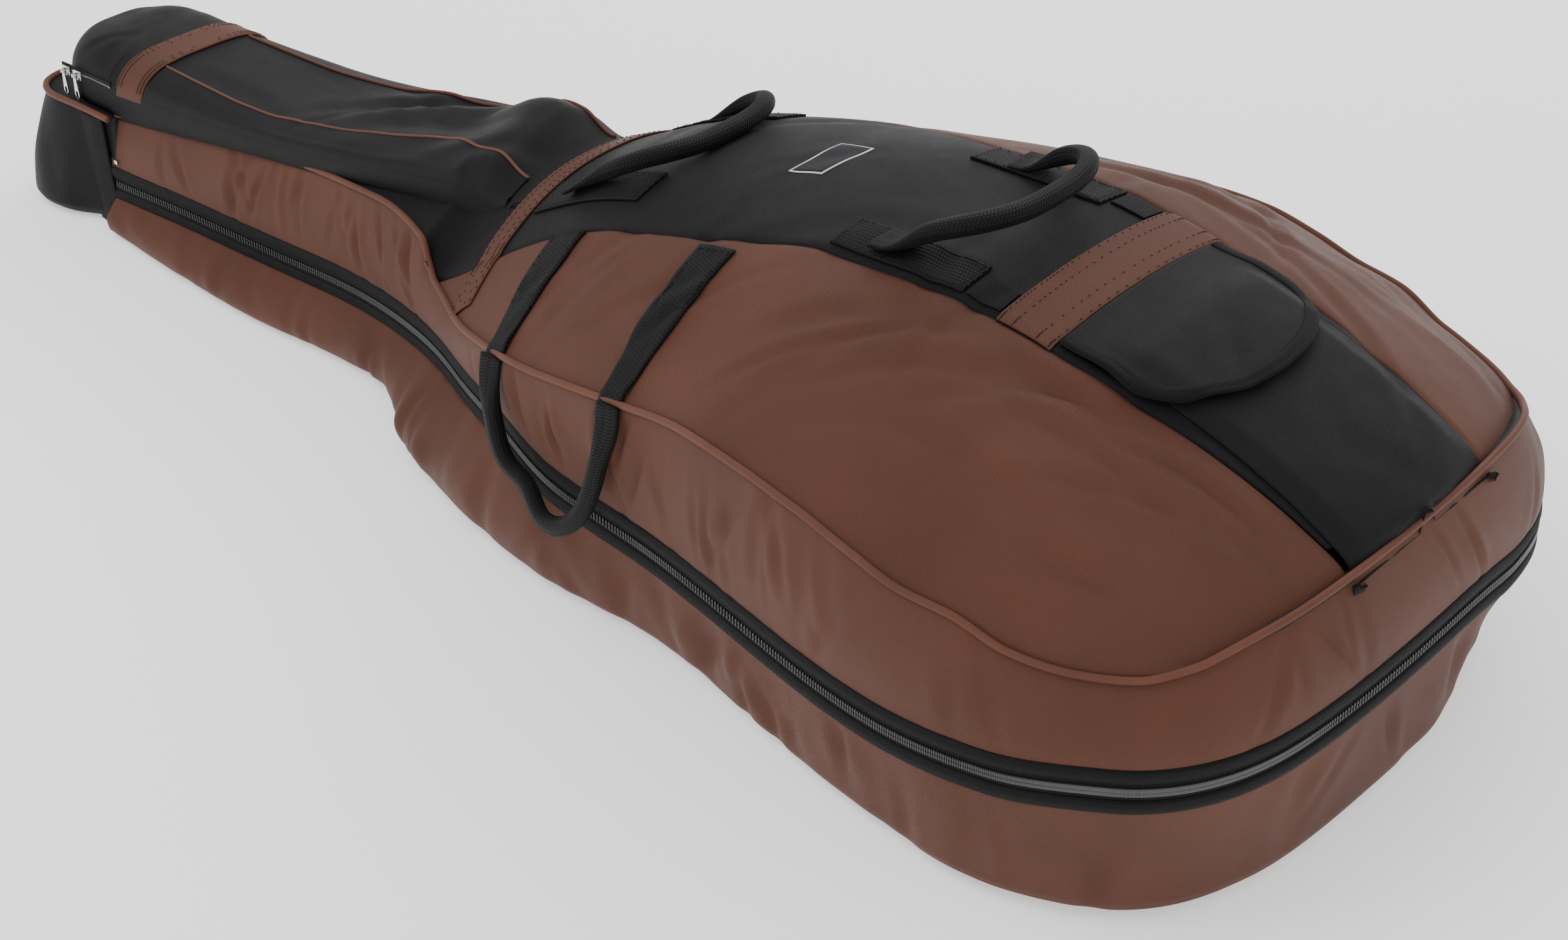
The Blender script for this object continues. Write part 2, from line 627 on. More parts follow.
def top(x, y):
    """Height of the lid's front: a crown over the seams, rounder than a parabola, with seam grooves
    and creases."""
    s = x - HEAD
    half = np.maximum(seam_half(s), 0.012)
    seam = seam_height(np.clip(s, .158, 1.9))
    q = np.clip(np.abs(y) / half, 0, 1)
    z = seam + (crest_height(s) - seam) * (1 - q**2.25)
    groove = np.exp(-((np.abs(y) - panel_edge(s)) / 0.004) ** 2) * (s > .82)
    return z - 0.0022 * groove + crease(x, y, TOP_FOLDS) * (1 - q**6)


POCKET_FOLDS = np.concatenate([
    folds(10, ((.28, .86), (-.10, .10)), (.05, .12), (.008, .016), (.002, .005), (.15, .35)),
    folds(6, ((.60, .86), (-.08, .10)), (.06, .12), (.014, .024), (.006, .011), (.45, .3)),
    folds(5, ((.06, .17), (-.08, .08)), (.03, .06), (.008, .014), (.001, .003))])
POCKET_FOLDS[:, 0] += HEAD
pocket_rise = curve1([(.03, .040), (.05, .050), (.10, .056), (.20, .050), (.35, .044), (.55, .034),
                      (.70, .034), (.80, .036), (.86, .020), (.90, .007)])


def pocket_half(s):
    """Half width of the bow pocket, which closes to a round end at the head."""
    closed = np.clip((s - .036) / .095, 0, 1)
    return .099 * (1 - (1 - closed) ** 2.8) ** (1 / 2.8)


def pocket_base(s):
    """Height at which the bow pocket's sides meet the bag."""
    return seam_height(np.clip(s, .17, 1.9)) - .004 * (s > .16)


def pocket(x, y):
    """Height of the bow pocket's top: a squarish cushion on the neck."""
    s = x - HEAD
    q = np.clip(np.abs(y) / np.maximum(pocket_half(s), .02), 0, .995)
    base = pocket_base(s)
    high = crest_height(s) + pocket_rise(s) - base
    bump = .020 * np.exp(-((s - .79) / .055) ** 2 - ((y - .03) / .05) ** 2)
    z = base + high * (1 - q**3.6) ** (1 / 3.6) + (crease(x, y, POCKET_FOLDS) + bump) * (1 - q**4)
    return z + (top(x, y) + .0015 - z) * ease(s, .825, .888)


def normal_of(field, x, y, step=0.002):
    """Unit normal of a height field, from its slopes."""
    gx = (field(x + step, y) - field(x - step, y)) / (2 * step)
    gy = (field(x, y + step) - field(x, y - step)) / (2 * step)
    return unit(np.stack([-gx, -gy, np.ones_like(gx)], -1))


def laid(field, x, y, lift=0.0):
    """Points on a surface, lifted along its normal."""
    place = np.stack([x, y, field(x, y)], -1)
    return place + normal_of(field, x, y) * lift


# ---------------------------------------------------------------- walls, back and front of the lid

def wall_folds(count, low, high, deep, wide):
    """Random upright creases: (run, slope, width, depth, centre height, height)."""
    return np.stack([RNG.uniform(low, high, count), RNG.normal(0, .035, count), RNG.uniform(*wide, count),
                     RNG.uniform(*deep, count), RNG.uniform(.2, .8, count), RNG.uniform(.25, .6, count)], 1)


def wall_crease(run, v, rows):
    """Sum of upright creases: each a dip along the wall with low ridges beside it, fading up and down."""
    total = np.zeros(np.broadcast(run, v).shape)
    for place, slope, wide, deep, middle, high in rows:
        across = run - place - slope * (v - .5)
        total += deep * np.exp(-((v - middle) / high) ** 2) * (
            .6 * np.exp(-(across / (2.1 * wide)) ** 2) - np.exp(-(across / wide) ** 2))
    return total


LONG = RUN[-1]
UPPER_FOLDS = np.concatenate([wall_folds(60, 0, LONG, (.002, .0065), (.005, .012)),
                              wall_folds(18, .22, .62, (.004, .009), (.005, .010)),
                              wall_folds(20, .95, 1.45, (.004, .010), (.006, .013))])
LOWER_FOLDS = np.concatenate([wall_folds(70, 0, LONG, (.003, .008), (.008, .022)),
                              wall_folds(20, .5, 1.6, (.005, .013), (.010, .024))])


def upper_wall():
    """Side of the lid from the zip up to the seam: the plan moves in to the seam, with a bulge between."""
    v = np.linspace(0, 1, 22)[None, :]
    low = (zip_height(PLACE) + .0205)[:, None]
    height = low + (SEAM_Z[:, None] - low) * v
    bulge = .007 * np.sin(math.pi * v) ** .8 * ease(PLACE, .158, .22)[:, None]
    bulge = bulge + wall_crease(RUN[:, None], v, UPPER_FOLDS) * np.sin(math.pi * v) ** .5
    move = bulge - seam_inset(SIDE)[:, None] * v**1.3
    flat = LOOP[:, None] + OUT[:, None] * move[..., None]
    return np.concatenate([flat, height[..., None]], 2)


def lower_wall():
    """Side of the back half from the zip down to the ground. It swells between the two, and leans out
    over the neck and waist and in towards the base, as a stuffed bag sags."""
    v = np.linspace(0, 1, 26)[None, :]
    high = (zip_height(PLACE) - .0205)[:, None]
    turn = np.clip((v - .84) / .16, 0, 1)
    height = high * (1 - v) * (1 - turn) + turn * .0005 + (1 - v) * high * turn * .45
    swell = curve1([(0, .004), (.15, .008), (.45, .008), (.7, .012), (1.1, .010), (1.4, .004), (1.9, .004),
                    (2.4, .008), (2.9, .014), (3.3, .008), (3.8, .006)])(PLACE)[:, None]
    lean = curve1([(.158, .012), (.3, .026), (.47, .036), (.60, .024), (.70, .014), (.76, .026), (.84, .044),
                   (.95, .032), (1.1, .010), (1.28, -.012), (1.585, -.014), (1.68, -.008), (1.81, -.018),
                   (1.88, -.018), (1.9, -.014), (1.907, -.034), (1.95, -.040), (2.1, -.024), (2.5, -.006),
                   (2.8, .012), (3.3, .030), (3.64, .012)])(PLACE)[:, None]
    bulge = swell * np.sin(math.pi * np.clip(v * .93, 0, 1)) ** .9
    bulge = bulge + wall_crease(RUN[:, None], v, LOWER_FOLDS) * np.sin(math.pi * v) ** .6 * (1 - turn)
    move = bulge + lean * np.sin(math.pi / 2 * np.clip(v / .8, 0, 1)) - .026 * turn**2
    flat = LOOP[:, None] + OUT[:, None] * move[..., None]
    return np.concatenate([flat, height[..., None]], 2)


def make_walls():
    """Both side walls, and the back as a flat skin from the wall's foot in to the middle line."""
    up = surface("lid_side", upper_wall(), [brown_twill, lining_cloth])
    thicken(up, PADDED_WALL, inner=1, rim=1)
    put(up, "lid", "brown_fabric", "lid_side_panel", "lid_foam", "lid_lining")
    points = lower_wall()
    low = surface("back_side", points, [brown_twill, lining_cloth], flip=True)
    thicken(low, PADDED_WALL, inner=1, rim=1)
    put(low, "base", "brown_fabric", "lower_side_panel", "base_foam", "base_lining")
    edge = points[:, -1]
    part = np.linspace(0, 1, 12)[None, :, None]
    spine = np.stack([np.clip(edge[:, 0], FOLD, at(1.62)), edge[:, 1] * 0, edge[:, 2]], 1)
    back = edge[:, None] * (1 - part) + spine[:, None] * part
    back[..., 2] = .0005
    uv = back[..., :2]
    floor = surface("back_skin", back, [black_twill, lining_cloth], flip=True, uv=uv)
    thicken(floor, PADDED_FLAT, inner=1, rim=1)
    put(floor, "base", "black_fabric", "back_panel")


def side_front(name, side):
    """Front panel between the seam and the centre panel, from the shoulder corner to the base."""
    start = int(np.argmin(np.abs(SIDE[:HALF_COUNT] - .803)))
    stop = int(np.argmin(np.abs(NEAR_SEAM[:, 1] + .105) + (SIDE[:HALF_COUNT] < 1.5)))
    outer = NEAR_SEAM[start:stop + 1]
    rows = respace(outer, 330)
    s_in = np.linspace(.803, 1.896, 330)
    inner = np.stack([HEAD + s_in, -panel_edge(s_in)], 1)
    inner[-1] = rows[-1]
    part = np.linspace(0, 1, 40)[None, :, None]
    flat = rows[:, None] * (1 - part) + inner[:, None] * part
    height = top(flat[..., 0], flat[..., 1])
    seam_z = np.interp(rows[:, 0], NEAR_SEAM[:, 0], SEAM_Z[:HALF_COUNT])
    height[:, 0] = seam_z
    points = np.concatenate([flat, height[..., None]], 2)
    if side > 0:
        points = points * np.array([1, -1, 1])
        points[..., 2] = top(points[..., 0], points[..., 1])
    obj = surface(name, points, [brown_twill, lining_cloth], flip=side > 0, uv=points[..., [1, 0]])
    thicken(obj, FRONT_SKIN, inner=1)
    put(obj, "lid", "brown_fabric", "front_panel_near" if side < 0 else "front_panel_far")


def centre_front():
    """Black centre panel, over the whole width at the neck and narrower over the body."""
    s = np.concatenate([np.linspace(.166, .80, 170), np.linspace(.803, 1.90, 310)])
    half = np.minimum(panel_edge(s), seam_half(s))
    q = np.linspace(-1, 1, 71)[None, :]
    y = half[:, None] * q
    y[-1] = .105 * q
    x = HEAD + s[:, None] + 0 * y
    base_seam = NEAR_SEAM[:600:-1]
    end = np.interp(np.abs(.105 * q[0]), -base_seam[:, 1], base_seam[:, 0])
    tail = ease(s, 1.6, 1.9)[:, None]
    x = np.minimum(x, at(1.9)) - tail * (at(1.9) - end)[None, :] * .98
    z = top(x, y)
    obj = surface("front_centre", np.stack([x, y, z], 2), [black_twill, lining_cloth],
                  uv=np.stack([x, y], 2))
    thicken(obj, FRONT_SKIN, inner=1)
    put(obj, "lid", "black_fabric", "front_centre_panel")


make_walls()
side_front("front_near", -1)
side_front("front_far", 1)
centre_front()


# ---------------------------------------------------------------- piping

def piping(name, path, radius, body="lid", nodes=()):
    """Round piping along a seam."""
    return put(tube(name, path, radius, piping_cloth), body, "piping", *nodes)


seam_line = np.concatenate([SEAM + OUT * .0015, (SEAM_Z + .0005)[:, None]], 1)
piping("seam_piping", seam_line[2:-2], .0036, nodes=("front_piping",))

# ---------------------------------------------------------------- long zip

def zip_line(offset_z, out):
    """The zip's middle line round the bag, moved up and out."""
    flat = LOOP + OUT * out
    return np.concatenate([flat, (zip_height(PLACE) + offset_z)[:, None]], 1)


def zip_strip(name, low, high, out, bow, mat, body, slot, nodes=(), thick=.0012, cols=5):
    """Strip along the zip between two heights from its middle line, bowed outwards across its width."""
    v = np.linspace(0, 1, cols)
    rows = [zip_line(low + (high - low) * p, out + bow * math.sin(math.pi * p)) for p in v]
    points = np.stack(rows, 1)
    obj = surface(name, points, mat)
    thicken(obj, thick, offset=-1.0)
    return put(obj, body, slot, *nodes)


zip_strip("zip_tape_upper", .0016, .0125, .0002, .0004, zip_cloth, "lid", "zip_coil", thick=.001, cols=3)
zip_strip("zip_tape_lower", -.0125, -.0016, .0002, .0004, zip_cloth, "base", "zip_coil", thick=.001, cols=3)
zip_strip("zip_binding_upper", .0085, .0225, .0010, .0016, tape_cloth, "lid", "binding",
          ("upper_zip_tape",), STRAP)
zip_strip("zip_binding_lower", -.0225, -.0085, .0010, .0016, tape_cloth, "base", "binding",
          ("lower_zip_tape",), STRAP)


def zip_coil(name, side, body, node):
    """Nylon coil: one rounded loop every 2.6 mm, each a short bar across the edge of the tape."""
    count = int(LONG / .0026)
    line = respace(np.concatenate([zip_line(side * .0021, .0012)[3:-3], OUT[3:-3]], 1), count)
    ways = unit(np.gradient(line[:, :3], axis=0))
    out = unit(np.stack([line[:, 3], line[:, 4], 0 * line[:, 3]], 1))
    up = unit(np.cross(ways, out))
    angle = np.linspace(0, 2 * math.pi, 6, endpoint=False)
    ring = np.cos(angle)[None, :, None] * ways[:, None] * .00095 \
        + np.sin(angle)[None, :, None] * out[:, None] * .0013
    place = np.array([-.0021, -.0012, .0012, .0021])
    size = np.array([.55, 1.0, 1.0, .55])
    verts = line[:, None, None, :3] + up[:, None, None] * place[None, :, None, None] \
        + ring[:, None] * size[None, :, None, None]
    one = np.array(grid_faces(4, 6, close_cols=True, flip=True))
    caps = np.array([[0, 1, 2, 3, 4, 5], [23, 22, 21, 20, 19, 18]])
    shift = np.arange(count)[:, None, None] * 24
    faces = (one[None] + shift).reshape(-1, 4).tolist() + (caps[None] + shift).reshape(-1, 6).tolist()
    obj = add_object(name, verts.reshape(-1, 3), faces)
    obj.data.materials.append(coil_nylon)
    put(obj, body, "zip_coil", node)


zip_coil("zip_coil_upper", 1, "lid", "upper_zip_coil")
zip_coil("zip_coil_lower", -1, "base", "lower_zip_coil")


# ---------------------------------------------------------------- head

HEAD_PLAN = smooth_path([(at(.166), -.109), (at(.09), -.110), (at(.035), -.106), (at(.008), -.088),
                         (at(-.002), -.05), (at(-.003), 0)], 160, start=(-1, 0), end=(0, 1))
HEAD_LOOP = respace(np.concatenate([HEAD_PLAN, HEAD_PLAN[-2::-1] * np.array([1, -1])]), 321)
HEAD_WAY = unit(np.gradient(HEAD_LOOP, axis=0))
HEAD_OUT = np.stack([-HEAD_WAY[:, 1], HEAD_WAY[:, 0]], 1)
HEAD_OUT *= np.sign((HEAD_OUT * (HEAD_LOOP - np.array([at(.1), 0]))).sum(1))[:, None]
HEAD_RUN = np.r_[0.0, np.cumsum(np.linalg.norm(np.diff(HEAD_LOOP, axis=0), axis=1))]
head_top = curve1([(0, .151), (.08, .152), (.14, .150), (.26, .148), (.40, .152), (.6, .152)])


def make_head():
    """Head box: a wall round three sides that bulges most at the bottom of its end face, a crowned top
    and a flat bottom."""
    v = np.linspace(0, 1, 22)[None, :]
    high = head_top(HEAD_RUN)[:, None]
    turn = np.clip((.12 - v) / .12, 0, 1)
    folds_ = wall_folds(14, 0, HEAD_RUN[-1], (.002, .006), (.008, .02))
    move = (.004 + wall_crease(HEAD_RUN[:, None], v, folds_)) * np.sin(math.pi * v) - .014 * turn**2
    end_face = ease(-np.abs(HEAD_RUN - HEAD_RUN[-1] / 2), -.24, -.06)[:, None]
    from_fold = np.minimum(HEAD_RUN, HEAD_RUN[-1] - HEAD_RUN)[:, None]
    move = move + (.012 + .034 * end_face) * (1 - v) ** .8 * ease(from_fold, 0, .10)
    flat = HEAD_LOOP[:, None] + HEAD_OUT[:, None] * (move - .003)[..., None]
    z = .001 + (high - .001) * v**1.02
    wall = surface("head_side", np.concatenate([flat, z[..., None]], 2), [black_twill, lining_cloth],
                   flip=True)
    thicken(wall, PADDED_WALL, inner=1, rim=1)
    put(wall, "base", "black_fabric", "head_shell", "head_foam")
    part = np.linspace(0, 1, 24)[None, :]
    for name, level in (("head_top", 1), ("head_bottom", 0)):
        edge = (flat[:, -1] if level else flat[:, 0])
        spine = np.stack([np.maximum(edge[:, 0], at(.06)), edge[:, 1] * 0], 1)
        grid = edge[:, None] * (1 - part[..., None]) + spine[:, None] * part[..., None]
        if level:
            rim = high + 0 * part
            z = rim + .006 * np.sin(part * math.pi / 2) + .0015 * np.sin(grid[..., 0] * 70) * part
        else:
            z = grid[..., 0] * 0 + .0008
        points = np.concatenate([grid, z[..., None]], 2)
        obj = surface(name, points, [black_twill, lining_cloth], flip=bool(level), uv=grid)
        thicken(obj, PADDED_FLAT, inner=1, rim=1)
        put(obj, "base", "black_fabric")
    line = np.concatenate([HEAD_LOOP + HEAD_OUT * .0005, high + .0005], 1)
    piping("head_seam_piping", line[1:-1], .0042, body="base", nodes=("head_piping",))


def make_collar():
    """Ribbed webbing down both sides of the head, next to the fold."""
    for name, side, nodes in (("collar_near", -1, ("collar_webbing",)), ("collar_far", 1, ())):
        v = np.linspace(0, 1, 30)[:, None]
        q = np.linspace(0, 1, 9)[None, :]
        s = .108 + .042 * q + .006 * np.sin(v * 2.4) + .004 * np.sin(math.pi * v)
        z = .002 + (.144 + .003 * q) * (1 - v) + 0 * q
        y = side * (.1115 + .0045 * np.sin(math.pi * v) - .0012 * np.cos(2 * math.pi * q))
        points = np.stack([at(s), y + 0 * s, z + 0 * s], 2)
        obj = surface(name, points, rib_webbing, flip=side > 0)
        thicken(obj, .0028)
        put(obj, "base", "webbing", *nodes)


make_head()
make_collar()


# ---------------------------------------------------------------- bow pocket

def pocket_grid(s, sides, lift=0.0):
    """Pocket skin: sections across the bag from one lower edge over the top to the other."""
    a = np.linspace(-math.pi / 2, math.pi / 2, sides)[None, :]
    s = s[:, None]
    half = pocket_half(s)
    base = pocket_base(s)
    high = crest_height(s) + pocket_rise(s) - base
    q = np.sign(np.sin(a)) * np.abs(np.sin(a)) ** (1 / 1.8)
    p = np.abs(np.cos(a)) ** (1 / 1.8)
    y = half * q
    x = at(s) + 0 * y
    bump = .020 * np.exp(-((s - .79) / .055) ** 2 - ((y - .03) / .05) ** 2)
    z = base + high * p + (crease(x, y, POCKET_FOLDS) + bump) * (1 - q**4)
    z = z + (top(x, y) + .0015 - z) * ease(s, .825, .888)
    sag = 1 + .03 * np.sin(math.pi * p) * (np.abs(q) > .5)
    return np.stack([x, y * sag, z], 2)


def make_pocket():
    """Bow pocket, its two lines of piping and the placket, whose free edge waves along the near one."""
    s = np.concatenate([.0365 + .02 * np.linspace(0, 1, 14) ** 2, np.linspace(.058, .895, 300)])
    obj = surface("bow_pocket", pocket_grid(s, 73), [black_pocket, lining_cloth])
    thicken(obj, .0022, inner=1, rim=0)
    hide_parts("bow_pocket_shell", "pocket_head_end")
    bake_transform(obj)
    s = np.linspace(.232, .872, 160)
    wave = .006 * np.sin(s * 11) + .010 * np.exp(-((s - .72) / .05) ** 2)
    for name, y, nodes in (("pocket_piping_near", -.062, ["pocket_piping"]), ("pocket_piping_far", .062, [])):
        line = laid(pocket, at(s), y + wave * (1 if y < 0 else .4), .0016)
        piping(name, line, .0019, nodes=nodes)
    v = np.linspace(0, 1, 14)[None, :]
    y = (-.0635 + wave[:, None]) * (1 - v) + v * (-.0975)
    points = laid(pocket, at(s)[:, None] + 0 * y, y, .0022)
    points[..., 2] += .004 * np.exp(-((v - .85) / .12) ** 2)
    flap = surface("pocket_placket", points, black_pocket, flip=True)
    thicken(flap, .0016)
    put(flap, "lid", "black_fabric", "placket_flap")


def strip_on(name, field, reach, width, lift, thick, mat, slot, nodes=(), rows=12, cols=60, cross=True):
    """A flat strip laid on the lid, over a reach along the bag and a width across it. Its edges lie a
    little lower than its middle."""
    s = np.linspace(*reach, rows)[:, None]
    y = np.linspace(*width, cols)[None, :]
    x = at(s) + 0 * y
    y = y + 0 * s
    p = np.linspace(0, 1, rows)[:, None]
    drop = .0006 * (np.abs(2 * p - 1) ** 6)
    points = laid(field, x, y, 0) + normal_of(field, x, y) * (lift + thick - drop)[..., None]
    uv = np.stack([y, x], 2) if cross else np.stack([x, y], 2)
    obj = surface(name, points, mat, uv=uv)
    thicken(obj, thick, bevel=thick * .3)
    return put(obj, "lid", slot, *nodes)


def rows_of_stitches(name, field, places, lift, slot="brown_fabric"):
    """Stitch rows on a piece laid on the lid. Each place is a list of (s, y) corners."""
    lines, normals = [], []
    for knots in places:
        flat = respace(np.array(knots, float), 80)
        x, y = at(flat[:, 0]), flat[:, 1]
        normals.append(normal_of(field, x, y))
        lines.append(laid(field, x, y, lift))
    return put(stitches(name, lines, normals, thread_dark), "lid", slot)


def brown_strap(name, node, field, half, thick, lift, edge, insets, cols=60):
    """A brown band across the bag, with rows of stitches at the given insets from its two edges."""
    start, stop = span(node)
    stop += edge
    strip_on(name, field, (start, stop), (-half, half), lift, thick, brown_twill, "brown_fabric", (node,),
             cols=cols)
    near, far, hold = insets
    rows = (start + near, start + far, stop - far, stop - near)
    places = [[(s, hold - half), (s, half - hold)] for s in rows]
    rows_of_stitches(name + "_stitches", field, places, lift + thick + .0002)


make_pocket()
brown_strap("neck_strap", "neck_band", pocket, .0975, WEBBING, .001, 2 * TURNED_EDGE, (.004, .010, .0035))
brown_strap("shoulder_strap", "shoulder_band", top, float(seam_half(.915)) - .004, STRAP, .0008,
            TURNED_EDGE, (.0025, .0105, .004), cols=120)
brown_strap("bout_strap", "bout_band", top, .129, STRAP, .0008, TURNED_EDGE, (.003, .016, .003))


# ---------------------------------------------------------------- label

def make_label():
    """Plain label sewn on slightly askew: a dark field inside a pale border."""
    start, stop = span("label_patch")
    corners = np.array([(start + .002, -.040), (stop, -.034), (stop + .002, .040), (start + .004, .034)])
    for name, grow, lift, mat, nodes in (("label_border", 0, .0009, label_edge, ("label_patch",)),
                                         ("label_field", .0024, .0013, label_cloth, ())):
        middle = corners.mean(0)
        c = middle + (corners - middle) * (1 - grow / np.abs(corners - middle).max(0))
        p = np.linspace(0, 1, 10)[:, None, None]
        q = np.linspace(0, 1, 18)[None, :, None]
        flat = (c[0] * (1 - p) + c[1] * p) * (1 - q) + (c[3] * (1 - p) + c[2] * p) * q
        points = laid(top, at(flat[..., 0]), flat[..., 1], lift)
        obj = surface(name, points, mat, uv=flat)
        thicken(obj, .0009)
        put(obj, "lid", "label", *nodes)


make_label()


# ---------------------------------------------------------------- handles

LEG_HALF = .022


def anchors_on(name, reach, y_middle, nodes=()):
    """Leg of a top handle, sewn down along the bag with a box of stitches."""
    width = y_middle - LEG_HALF, y_middle + LEG_HALF
    strip_on(name, top, reach, width, .0006, WEBBING, webbing, "webbing", nodes, rows=50, cols=9, cross=False)
    s0, s1 = reach[0] + .005, reach[1] - .005
    y0, y1 = width[0] + .004, width[1] - .004
    box = [[(s0, y0), (s1, y0)], [(s0, y1), (s1, y1)], [(s0, y0), (s0, y1)], [(s1, y0), (s1, y1)]]
    rows_of_stitches(name + "_stitches", top, box, .0036, "webbing")


def rolled(name, knots, body, nodes, flat_width=.020, radius=.0098, seam_side=1.0, up=(0, 0, 1)):
    """Grip: webbing that lies flat at its ends and is folded round into a roll between them, with the
    fold's lip as a low ridge along one side."""
    path = smooth_path(knots, 120)
    t = np.linspace(0, 1, len(path))
    roll = ease(np.minimum(t, 1 - t), .03, .16)
    wide = flat_width * (1 - roll) + radius * roll
    thick = .0026 * (1 - roll) + radius * .92 * roll
    angle = np.linspace(0, 2 * math.pi, 20, endpoint=False)[None, :]
    power = (.45 * (1 - roll) + .9 * roll)[:, None]
    c = np.sign(np.cos(angle)) * np.abs(np.cos(angle)) ** power
    s = np.sign(np.sin(angle)) * np.abs(np.sin(angle)) ** power
    past = np.mod(angle - seam_side + math.pi, 2 * math.pi) - math.pi
    beside = np.mod(angle - seam_side - .5 + math.pi, 2 * math.pi) - math.pi
    lip = 1 + (.10 * np.exp(-(past / .28) ** 2) - .12 * np.exp(-(beside / .2) ** 2)) * roll[:, None]
    profile = np.stack([c * wide[:, None] * lip, s * thick[:, None] * lip], 2)
    obj = tube(name, path, radius, webbing, profile=profile, up=up)
    put(obj, body, "webbing", *nodes)
    tangent, side, high = frames_along(path, up)
    a = seam_side + .12
    keep = slice(14, -14)
    line = path + side * (math.cos(a) * wide * 1.06)[:, None] + high * (math.sin(a) * thick * 1.06)[:, None]
    normal = side * math.cos(a) + high * math.sin(a)
    put(stitches(name + "_seam", [line[keep]], [normal[keep]], thread_dark), body, "webbing")


def make_top_handle(number, lean, reach):
    """Top handle: two sewn legs, and a rolled grip that rises from its pivot at the given lean."""
    node = f"top_handle_{number}"
    side = .100
    for tag, y in (("near", -side), ("far", side)):
        anchors_on(f"{node}_leg_{tag}", span(node + "_anchors"), y, (node + "_anchors",) if y < 0 else ())
    x = PIVOTS[node + "_swing"][0]
    run, rise = reach * math.cos(math.radians(lean)), reach * math.sin(math.radians(lean))
    tail, z = top(np.array([x - .026, x]), np.array([-side, -side])).tolist()
    half = [(x - .026, -side, tail + .0052),
            (x - .004, -side, z + .0085), (x + .26 * run, -.0985, z + .016 + .26 * rise),
            (x + .66 * run, -.090, z + .018 + .70 * rise), (x + .93 * run, -.066, z + .016 + .95 * rise),
            (x + 1.04 * run, -.030, z + .014 + rise)]
    knots = half + [(x + 1.06 * run, 0, z + .014 + 1.01 * rise)] + [(a, -b, c) for a, b, c in reversed(half)]
    rolled(node + "_roll", knots, node, (node + "_grip",), seam_side=2.2)


make_top_handle(1, 24, .088)
make_top_handle(2, 20, .086)
for tag, y in (("near", -.105), ("far", .105)):
    strip_on(f"rib_strip_{tag}", top, span("webbing_strips"), (y - .015, y + .015), .0005, .0018, rib_webbing,
             "webbing", ("webbing_strips",) if y < 0 else (), rows=20, cols=9, cross=False)


def side_leg(name, s, nodes=()):
    """Leg of the side handle: across the front panel, then over the seam piping and a little way down."""
    half = float(seam_half(s))
    y = np.concatenate([np.linspace(-.160, -half + .004, 34), [-half - .003, -half - .006, -half - .0075]])
    v = np.linspace(-1, 1, 9)[None, :]
    narrow = (1 - .34 * ease(-y, half - .07, half + .004))[:, None]
    x = at(s) + v * LEG_HALF * narrow
    yy = y[:, None] + 0 * v
    z = top(x, np.maximum(yy, -half + .0005))
    lift = normal_of(top, x, np.maximum(yy, -half + .004)) * .0036
    points = np.stack([x, yy, z], 2) + lift
    over = ease(-y, half - .001, half + .008)[:, None]
    points[..., 2] += .004 * ease(-y, half - .02, half)[:, None] - .018 * over
    obj = surface(name, points, webbing, uv=np.stack([yy, x], 2))
    thicken(obj, WEBBING)
    put(obj, "lid", "webbing", *nodes)
    edge = LEG_HALF - .004
    box = [[(s - edge, -.165), (s + edge, -.165)], [(s - edge, -.165), (s - edge, -.225)],
           [(s + edge, -.165), (s + edge, -.225)], [(s - edge, -.225), (s + edge, -.225)]]
    rows_of_stitches(name + "_stitches", top, box, .0042, "webbing")


def make_side_handle():
    """Side handle: two legs over the seam, and a rolled loop that hangs down the side from them."""
    start, stop = span("side_handle_anchors")
    s_a, s_b = start + LEG_HALF, stop - LEG_HALF
    side_leg("side_leg_a", s_a, ("side_handle_anchors",))
    side_leg("side_leg_b", s_b)
    a, b = at(s_a), at(s_b)
    y_a, y_b = -float(seam_half(s_a)), -float(seam_half(s_b))
    z_a, z_b = float(seam_height(s_a)), float(seam_height(s_b))
    knots = [(a, y_a - .008, z_a + .001), (a + .001, y_a - .014, z_a - .022),
             (a + .009, y_a - .020, z_a - .060), (a + .028, y_a - .024, z_a - .100),
             (a + .060, y_a - .030, .124), (a + .100, y_b - .012, .112), (b - .056, y_b - .018, .124),
             (b - .024, y_b - .018, .165), (b - .004, y_b - .016, z_b - .052),
             (b + .003, y_b - .013, z_b - .022), (b + .002, y_b - .008, z_b + .001)]
    rolled("side_handle_roll", knots, "side_handle", ("side_handle_grip",), flat_width=.014, radius=.0092,
           seam_side=.6, up=(0, -1, 0))


make_side_handle()


# ---------------------------------------------------------------- music pocket and flap

def music_field(x, y):
    """Front of the music pocket: the lid's front with a low padded rise."""
    s = x - HEAD
    rise = .006 * ease(s, 1.62, 1.66) * ease(-s, -1.895, -1.84) * ease(-np.abs(y), -.104, -.080)
    return top(x, y) + rise


def flap_half(p):
    """Half width of the U-shaped flap: straight sides, then a round end."""
    return .117 * (1 - np.clip((p - .42) / .58, 0, 1) ** 2.3) ** (1 / 2.1)


FLAP_START = span("music_flap")[0] + TURNED_EDGE
FLAP_LENGTH = .148


def flap_points(x, y, p, rise=0.0):
    """Points on the flap, which lifts from its hinge over its first third and ripples across its end."""
    lift = .0040 + .0055 * ease(p, 0, .35) + .0012 * np.sin(y * 40) * p + rise
    return laid(music_field, x, y) + normal_of(music_field, x, y) * lift[..., None]


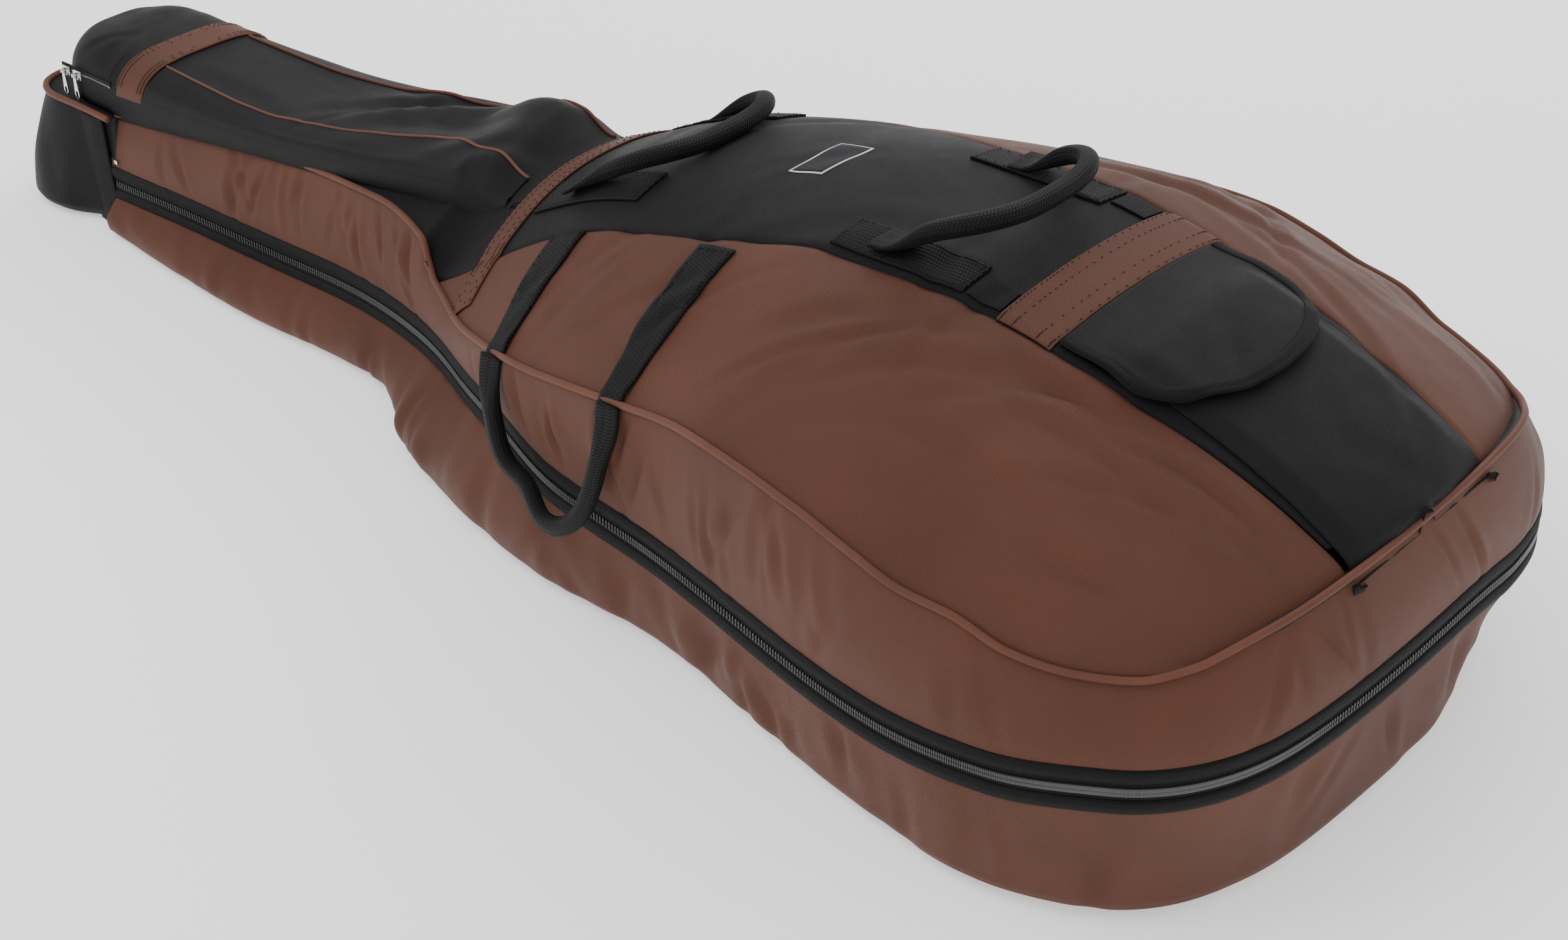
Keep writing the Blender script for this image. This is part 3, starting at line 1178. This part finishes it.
def make_music_pocket():
    """Music pocket on the lower body, its flap, and the binding round the flap's free edge."""
    s = np.linspace(1.632, 1.886, 90)[:, None]
    q = np.linspace(-1, 1, 60)[None, :]
    y = q * np.minimum(.103, panel_edge(s) - .003)
    x = at(s) + 0 * y
    points = laid(music_field, x, y, .0018)
    obj = surface("music_pocket_front", points, [black_twill, lining_cloth], uv=np.stack([x, y], 2))
    thicken(obj, .0016, inner=1)
    put(obj, "lid", "black_fabric", "music_pocket_panel")
    p = np.concatenate([np.linspace(0, .9, 50), 1 - .1 * (1 - np.linspace(0, 1, 24)[1:]) ** 2])[:, None]
    y = q * np.maximum(flap_half(p), .0004)
    x = at(FLAP_START + FLAP_LENGTH * p) + 0 * y
    flap = surface("music_flap_skin", flap_points(x, y, p), [black_twill, lining_cloth],
                   uv=np.stack([x, y], 2))
    thicken(flap, .0024, inner=1)
    put(flap, "flap", "black_fabric", "music_flap")
    edge_p = np.concatenate([np.linspace(0.005, .9, 90), 1 - .1 * (1 - np.linspace(0, 1, 60)[1:]) ** 2])
    outline = np.stack([at(FLAP_START + FLAP_LENGTH * edge_p), -flap_half(edge_p)], 1)
    outline = np.concatenate([outline, outline[-2::-1] * np.array([1, -1])])
    outline = respace(outline, 260)
    way = unit(np.gradient(outline, axis=0))
    inward = np.stack([-way[:, 1], way[:, 0]], 1)
    inward *= np.sign((inward * (np.array([at(1.62), 0]) - outline)).sum(1))[:, None]
    width = np.array([-.0012, .0005, .004, .008, .0115, .0125])
    rise = np.array([-.0012, .0008, .0014, .0014, .0010, .0001])
    flat = outline[:, None] + inward[:, None] * width[None, :, None]
    part = np.clip((flat[..., 0] - at(FLAP_START)) / FLAP_LENGTH, 0, 1)
    obj = surface("music_flap_binding", flap_points(flat[..., 0], flat[..., 1], part, rise), tape_cloth)
    thicken(obj, .0036)
    put(obj, "flap", "binding", "flap_binding")


make_music_pocket()


# ---------------------------------------------------------------- CAD pieces that keep their own mesh

KEPT = {"zip_end_stops": metal, "hook_patch": hook_cloth, "loop_patch": hook_cloth,
        "pocket_zip_tape": zip_cloth, "pocket_zip_coil": coil_nylon}
for node, obj in frame["nodes"].items():
    mat = metal if "slider" in node or "pull" in node else KEPT.get(node)
    if mat is not None:
        obj.data.materials.clear()
        obj.data.materials.append(mat)
